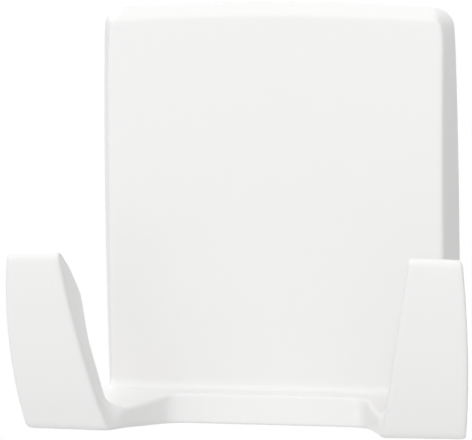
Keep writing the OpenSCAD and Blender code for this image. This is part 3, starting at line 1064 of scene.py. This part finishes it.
@dataclass(frozen=True)
class StretchStrip:
    """A stretchy foam strip, sticky on both faces, with a folded film to pull it by."""

    side: Side
    centre_x: float = 11.0
    width: float = 16.0
    corner_r: float = 1.5
    sticky: Span = (-18.0, 18.0)
    tail_z: float = -30.0
    reaches: tuple[float, float, float, float] = (0.0, 0.15, 0.85, 1.0)
    core_edge: float = 0.12
    film_edge: float = 0.05
    edge_mid_share: float = 0.3
    tab_h: float = 9.5
    tab_t: float = 0.1
    tab_fold: float = 0.3
    tab_turn: int = 15
    # Closed-cell foam, with small bubbles on its cut edges.
    foam: Finish = Finish(
        "strip_foam", tones=((0.72, 0.735, 0.72), (0.83, 0.84, 0.83)), gloss=(0.6, 0.8),
        depth=0.03, ior=1.45,
        marks=(Mark(0.28, Pattern.BUBBLES, 0.0), Mark(2.0), Mark(0.28, Pattern.BUBBLES, 0.0)))
    # A milky, pebbled and slightly wet film.
    adhesive: Finish = Finish(
        "adhesive_film", tones=((0.66, 0.68, 0.665), (0.76, 0.775, 0.76)), gloss=(0.22, 0.45),
        depth=0.02, ior=1.47, marks=(Mark(5.0, detail=5.0), Mark(1.5), Mark(0.7)))
    # A smooth film, with faint lines along its length from rolling.
    film: Finish = Finish(
        "tab_film", tones=((0.64, 0.71, 0.79), (0.7, 0.765, 0.835)), gloss=(0.16, 0.3),
        depth=0.006, ior=1.5,
        marks=(Mark(4.0), Mark(0.35, detail=2.0, along=0.04), Mark(0.35, detail=2.0, along=0.04)))

    def outline(self, z: Span, inset: float = 0.0) -> Row:
        """Gives a rounded outline across and up.

        Args:
            z: Its lowest and highest height.
            inset: How far it is drawn in.

        Returns:
            The outline's points.
        """
        r = self.corner_r - inset
        x = self.side.value * self.centre_x
        w = self.width / 2 - self.corner_r
        low, high = z[0] + self.corner_r, z[1] - self.corner_r
        spots = [(x + w, low, -90), (x + w, high, 0), (x - w, high, 90), (x - w, low, 180)]
        return [p for a, b, turn in spots for p in arc(a, b, r, turn, turn + 90, steps=6)]

    def sheet(self, name: str, z: Span, reach: Span, edge: float) -> Thing:
        """Makes a sheet with rounded corners and softly rounded edges.

        Args:
            name: Its name.
            z: Its lowest and highest height.
            reach: Its back and front.
            edge: The rounding of its edges.

        Returns:
            The sheet's object.
        """
        near, far = reach
        mid = edge * self.edge_mid_share
        steps = [(edge, near), (mid, near + mid), (0.0, near + edge),
                 (0.0, far - edge), (mid, far - mid), (edge, far)]
        cage = Cage()
        cage.loft([(p.x, r, p.y) for p in self.outline(z, inset)] for inset, r in steps)
        sheet = cage.piece(f"{name}_{self.side.name.lower()}_sheet")
        smooth(sheet)
        return sheet

    def tab(self) -> Thing:
        """Makes the film that is folded round the tail's end.

        Returns:
            The film's object.
        """
        _, near, far, _ = self.reaches
        top, t, fold = self.tail_z + self.tab_h, self.tab_t, self.tab_fold
        r, half = self.corner_r, self.width / 2
        cage = Cage()
        sections = []
        places = [-half + r - r * math.sin(math.radians(a)) for a in range(90, -1, -self.tab_turn)]
        for x in [*places, *(-x for x in reversed(places))]:
            past = max(0.0, abs(x) - (half - r))
            low = self.tail_z - t + r - math.sqrt(r * r - past * past)
            outer = [Vector((near - t, top)), *arc(near - t + fold, low + fold, fold, 180, 270, steps=4),
                     *arc(far + t - fold, low + fold, fold, 270, 360, steps=4), Vector((far + t, top))]
            inner = [Vector((far, top)), Vector((far, low + t + fold)), Vector((far - fold, low + t)),
                     Vector((near + fold, low + t)), Vector((near, low + t + fold)), Vector((near, top))]
            across = self.side.value * self.centre_x + x
            sections.append([(across, p.x, p.y) for p in outer + inner])
        cage.loft(sections)
        tab = cage.piece(f"pull_tab_{self.side.name.lower()}_film")
        smooth(tab)
        return tab

    def build(self) -> list[Thing]:
        """Makes the strip's pieces and dresses them.

        Returns:
            The foam core, the film on the wall, the film on the wall plate and the tab.
        """
        wall, near, far, plate = self.reaches
        side = self.side.name.lower()
        core = self.sheet("strip_core", (self.tail_z, self.sticky[1]), (near, far), self.core_edge)
        wall_film = self.sheet("wall_adhesive", self.sticky, (wall, near), self.film_edge)
        plate_film = self.sheet("plate_adhesive", self.sticky, (far, plate), self.film_edge)
        tab = self.tab()
        sticky = self.adhesive.material()
        dress(core, self.foam.material(), "wall_plate", f"strip_core_{side}")
        dress(wall_film, sticky, "wall_plate", f"wall_adhesive_{side}")
        dress(plate_film, sticky, "wall_plate", f"plate_adhesive_{side}")
        dress(tab, self.film.material(), "wall_plate", f"pull_tab_{side}")
        return [core, wall_film, plate_film, tab]


@dataclass(frozen=True)
class Lamp:
    """A large soft lamp, so far off that its light is even."""

    name: str
    toward: tuple[float, float, float]
    strength: float
    spread: float

    def place(self) -> None:
        """Puts the lamp up."""
        data = bpy.data.lights.new(self.name, "SUN")
        data.energy = self.strength
        data.angle = math.radians(self.spread)
        lamp = bpy.data.objects.new(self.name, data)
        lamp.rotation_euler = Vector(self.toward).to_track_quat("Z", "Y").to_euler()
        bpy.context.scene.collection.objects.link(lamp)


@dataclass(frozen=True)
class Studio:
    """The pale floor, the soft light and the camera at the photograph's angle; lengths in millimetres."""

    yaw: float = 17.12
    pitch: float = 5.501
    roll: float = 0.82
    lens: float = 424.9
    sensor: float = 36.0
    clip_end: float = 50000.0
    distance: float = 928.45
    target: tuple[float, float, float] = (-7.775, -1.2, -1.0)
    floor_z: float = -1200.0
    floor_size: float = 1600.0
    floor_paint: Colour = (0.8, 0.8, 0.8)
    floor_glow: float = 0.35
    sky: float = 0.23
    lamps: tuple[Lamp, ...] = (
        Lamp("front_lamp", (0.0, -1.0, 0.0), 1.82, 150.0),
        Lamp("key_lamp", (-0.65, -0.5, 0.55), 0.52, 50.0),
        Lamp("fill_lamp", (0.45, -0.65, 0.6), 0.34, 50.0),
        Lamp("top_lamp", (0.0, -0.05, 1.0), 0.62, 50.0),
        Lamp("back_lamp", (-0.55, 0.5, 0.65), 0.75, 50.0),
        Lamp("rear_lamp", (0.0, 1.0, 0.05), 0.85, 30.0),
    )

    def camera(self) -> None:
        """Places the camera."""
        yaw, pitch, roll = (math.radians(a) for a in (self.yaw, self.pitch, self.roll))
        right = Vector((math.cos(yaw), math.sin(yaw), 0.0))
        back = Vector((math.sin(yaw) * math.cos(pitch), -math.cos(yaw) * math.cos(pitch), math.sin(pitch)))
        turned = Matrix((right, back.cross(right), back)).transposed() @ Matrix.Rotation(-roll, 3, "Z")
        data = bpy.data.cameras.new("camera")
        data.lens = self.lens
        data.sensor_width = self.sensor
        data.clip_end = self.clip_end * MM
        eye = bpy.data.objects.new("camera", data)
        place = (Vector(self.target) + back * self.distance) * MM
        eye.matrix_world = Matrix.Translation(place) @ turned.to_4x4()
        bpy.context.scene.collection.objects.link(eye)
        bpy.context.scene.camera = eye

    @staticmethod
    def seen(tree: Tree) -> Socket:
        """Gives a value that is 1 for what the camera sees, straight or by gloss or glass, and 0 otherwise.

        Args:
            tree: The node tree that needs it.

        Returns:
            The value's socket.
        """
        path = add(tree, "ShaderNodeLightPath").outputs
        total = path["Is Camera Ray"]
        for name in ("Is Glossy Ray", "Is Transmission Ray"):
            larger = add(tree, "ShaderNodeMath", total, path[name])
            larger.operation = "MAXIMUM"
            total = larger.outputs[0]
        return total

    def world(self) -> None:
        """Sets up the even light all round, which the camera sees as white."""
        world = bpy.data.worlds.new("studio")
        world.use_nodes = True
        tree = world.node_tree
        level = add(tree, "ShaderNodeMapRange", value=self.seen(tree), to_min=self.sky)
        light = next(n for n in tree.nodes if n.type == "BACKGROUND")
        fill(tree, light, color=WHITE, strength=level.outputs[0])
        bpy.context.scene.world = world

    def floor(self) -> None:
        """Makes the floor, which the camera sees as white where no shadow falls."""
        half = self.floor_size / 2
        corners = ((-half, -half), (half, -half), (half, half), (-half, half))
        cage = Cage()
        cage.face(*cage.row((x, y, self.floor_z) for x, y in corners))
        floor = cage.piece("floor")
        material = bpy.data.materials.new("pale_floor")
        material.use_nodes = True
        tree = material.node_tree
        tree.nodes.clear()
        share = add(tree, "ShaderNodeMapRange", value=self.seen(tree), to_max=self.floor_glow)
        paint = add(tree, "ShaderNodeBsdfDiffuse", color=(*self.floor_paint, 1.0))
        glow = add(tree, "ShaderNodeEmission", strength=share.outputs[0])
        both = add(tree, "ShaderNodeAddShader", paint.outputs[0], glow.outputs[0])
        add(tree, "ShaderNodeOutputMaterial", surface=both.outputs[0])
        floor.data.materials.append(material)

    def build(self) -> None:
        """Sets up the camera, the light and the floor."""
        self.camera()
        self.world()
        self.floor()
        for lamp in self.lamps:
            lamp.place()
        bpy.context.scene.view_settings.view_transform = "Standard"


def main() -> None:
    """Builds the object's pieces and the studio, in order, and reports the pieces."""
    logging.basicConfig(level=logging.INFO, format="%(name)s: %(message)s")
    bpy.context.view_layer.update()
    pieces = [HookCover().build(), WallPlate().build()]
    for side in Side:
        pieces += StretchStrip(side).build()
    for piece in pieces:
        LOG.info("%s: %d faces", piece.name, len(piece.data.polygons))
    Studio().build()


if __name__ == "__main__":
    main()
